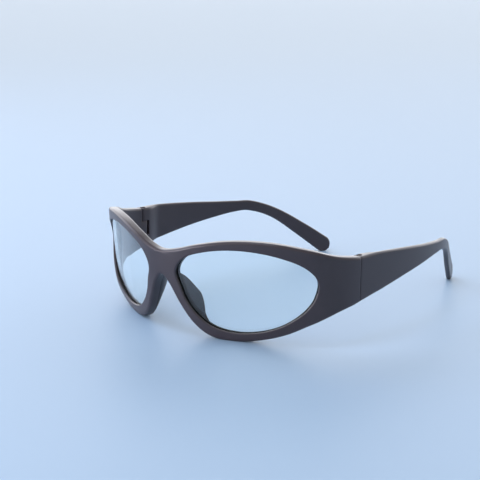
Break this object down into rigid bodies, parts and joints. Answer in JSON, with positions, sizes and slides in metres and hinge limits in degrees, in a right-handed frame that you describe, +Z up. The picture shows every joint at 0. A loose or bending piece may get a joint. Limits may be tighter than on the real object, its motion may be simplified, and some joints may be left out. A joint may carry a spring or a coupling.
{
  "type": "laser safety glasses",
  "caption": "Wrap-round laser safety glasses with a moulded full-rim frame, clear filter lenses, bonded nose pads and temples that fold on screwed tongue and fork hinges.",
  "frame": {"origin": "under the middle of the glasses' bounding box, on the surface they stand on with the temples open", "axes": "+X towards the wearer's left, +Y from the front back along the temples, +Z up"},
  "size_m": [0.1342, 0.1628, 0.0434],
  "materials": {
    "frame": "semi-gloss moulded",
    "lens": "clear, faint blue tint",
    "nose_pad": "satin moulded",
    "insert": "turned",
    "screw": "turned"
  },
  "bodies": {
    "front": {"front_frame": "frame", "lens_left": "lens", "lens_right": "lens", "nose_pad_left": "nose_pad", "nose_pad_right": "nose_pad"},
    "left_temple": {"temple_left": "frame", "hinge_insert_left": "insert", "hinge_screw_left": "screw"},
    "right_temple": {"temple_right": "frame", "hinge_insert_right": "insert", "hinge_screw_right": "screw"}
  },
  "joints": [
    {"name": "left_hinge", "type": "hinge", "parent": "front", "child": "left_temple", "pos_m": [0.06415, -0.03097, 0.02645], "axis": [0, 0, 1], "range_deg": [0, 87]},
    {"name": "right_hinge", "type": "hinge", "parent": "front", "child": "right_temple", "pos_m": [-0.06415, -0.03097, 0.02645], "axis": [0, 0, -1], "range_deg": [0, 76]}
  ]
}
